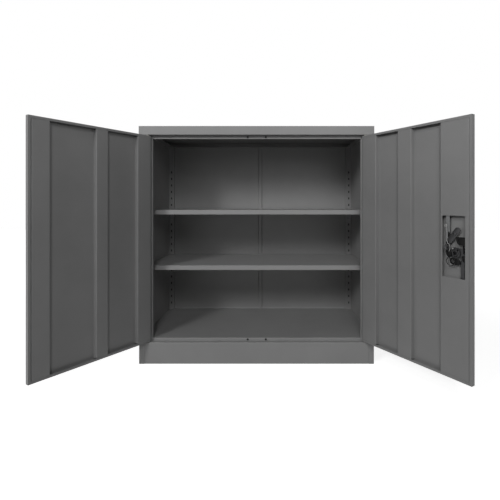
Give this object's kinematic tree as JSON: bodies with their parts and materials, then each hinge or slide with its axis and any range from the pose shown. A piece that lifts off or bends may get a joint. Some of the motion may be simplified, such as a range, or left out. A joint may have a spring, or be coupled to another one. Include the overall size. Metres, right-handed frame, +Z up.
{
  "type": "tool cabinet with doors",
  "caption": "Low steel tool cabinet on a plinth with inset swing doors, lift-off shelves on clips, and a turning handle that drives bolts up and down inside the lock door.",
  "frame": {"origin": "on the floor, on the underside of the plinth's foot flange, midway between the sides and 10 mm behind the case's front plane", "axes": "+X to the right as seen from the front, +Y from the front to the back, +Z up; the doors stand open at 125 and 123 degrees"},
  "size_m": [1.3281, 0.7791, 0.909],
  "materials": {
    "case_paint": "light grey powder coat, semi-matt, on folded sheet steel",
    "shelf_paint": "light grey powder coat, semi-matt, on the shelves",
    "door_paint": "light grey powder coat, semi-matt, on the doors and their channels",
    "zinc_steel": "bright zinc plating on small steel parts",
    "black_plastic": "fine-textured black plastic",
    "nickel": "satin nickel plating",
    "nylon": "off-white nylon",
    "buffer_rubber": "matt black rubber"
  },
  "bodies": {
    "cabinet": {"lid": "case_paint", "side_panel_left": "case_paint", "side_panel_right": "case_paint", "plinth": "case_paint", "floor_panel": "case_paint", "back_panel_left": "case_paint", "back_panel_right": "case_paint", "back_cover_strip": "case_paint", "rear_upright_left": "case_paint", "rear_upright_right": "case_paint", "front_upright_left": "case_paint", "front_upright_right": "case_paint", "upper_shelf_clips": "zinc_steel", "lower_shelf_clips": "zinc_steel", "hinge_washers": "nylon", "door_buffers": "buffer_rubber"},
    "upper_shelf": {"upper_shelf": "shelf_paint"},
    "lower_shelf": {"lower_shelf": "shelf_paint"},
    "left_door": {"left_door_pan": "door_paint", "left_hinge_channel": "door_paint", "left_middle_channel": "door_paint", "left_edge_channel": "door_paint", "left_hinge_pins": "zinc_steel", "left_pin_brackets": "zinc_steel"},
    "right_door": {"right_door_pan": "door_paint", "right_hinge_channel": "door_paint", "right_middle_channel": "door_paint", "right_lock_channel": "door_paint", "right_hinge_pins": "zinc_steel", "right_pin_brackets": "zinc_steel", "handle_plate": "black_plastic", "bolt_guides": "nylon", "cylinder_barrel": "nickel", "spare_keys": "black_plastic"},
    "handle": {"handle_grip": "black_plastic", "handle_spindle": "zinc_steel", "crank_disc": "zinc_steel", "crank_screw": "zinc_steel"},
    "lock_cylinder": {"cylinder_plug": "nickel", "lock_cam": "zinc_steel", "lock_cam_nut": "zinc_steel"},
    "upper_bolt": {"upper_bolt": "zinc_steel"},
    "lower_bolt": {"lower_bolt": "zinc_steel"}
  },
  "joints": [
    {"name": "left_door_hinge", "type": "hinge", "parent": "cabinet", "child": "left_door", "pos_m": [-0.418, -0.0045, 0.4785], "axis": [0, 0, 1], "range_deg": [-1, 125]},
    {"name": "right_door_hinge", "type": "hinge", "parent": "cabinet", "child": "right_door", "pos_m": [0.418, -0.0045, 0.4785], "axis": [0, 0, -1], "range_deg": [-3, 123]},
    {"name": "handle_turn", "type": "hinge", "parent": "right_door", "child": "handle", "pos_m": [0.61977, -0.3051, 0.464], "axis": [0.8387, 0.5446, 0], "range_deg": [0, 90]},
    {"name": "upper_bolt_slide", "type": "slide", "parent": "right_door", "child": "upper_bolt", "axis": [0, 0, 1], "range_m": [0, 0.0184]},
    {"name": "lower_bolt_slide", "type": "slide", "parent": "right_door", "child": "lower_bolt", "axis": [0, 0, -1], "range_m": [0, 0.0184]},
    {"name": "lock_plug_turn", "type": "hinge", "parent": "right_door", "child": "lock_cylinder", "pos_m": [0.61977, -0.3051, 0.522], "axis": [0.8387, 0.5446, 0], "range_deg": [0, 90]},
    {"name": "upper_shelf_lift", "type": "slide", "parent": "cabinet", "child": "upper_shelf", "axis": [0, 0, 1], "range_m": [0, 0.025]},
    {"name": "lower_shelf_lift", "type": "slide", "parent": "cabinet", "child": "lower_shelf", "axis": [0, 0, 1], "range_m": [0, 0.025]}
  ],
  "couplings": [
    {"joint": "upper_bolt_slide", "follows": "handle_turn", "m_per_rad": 0.0117},
    {"joint": "lower_bolt_slide", "follows": "handle_turn", "m_per_rad": 0.0117}
  ]
}
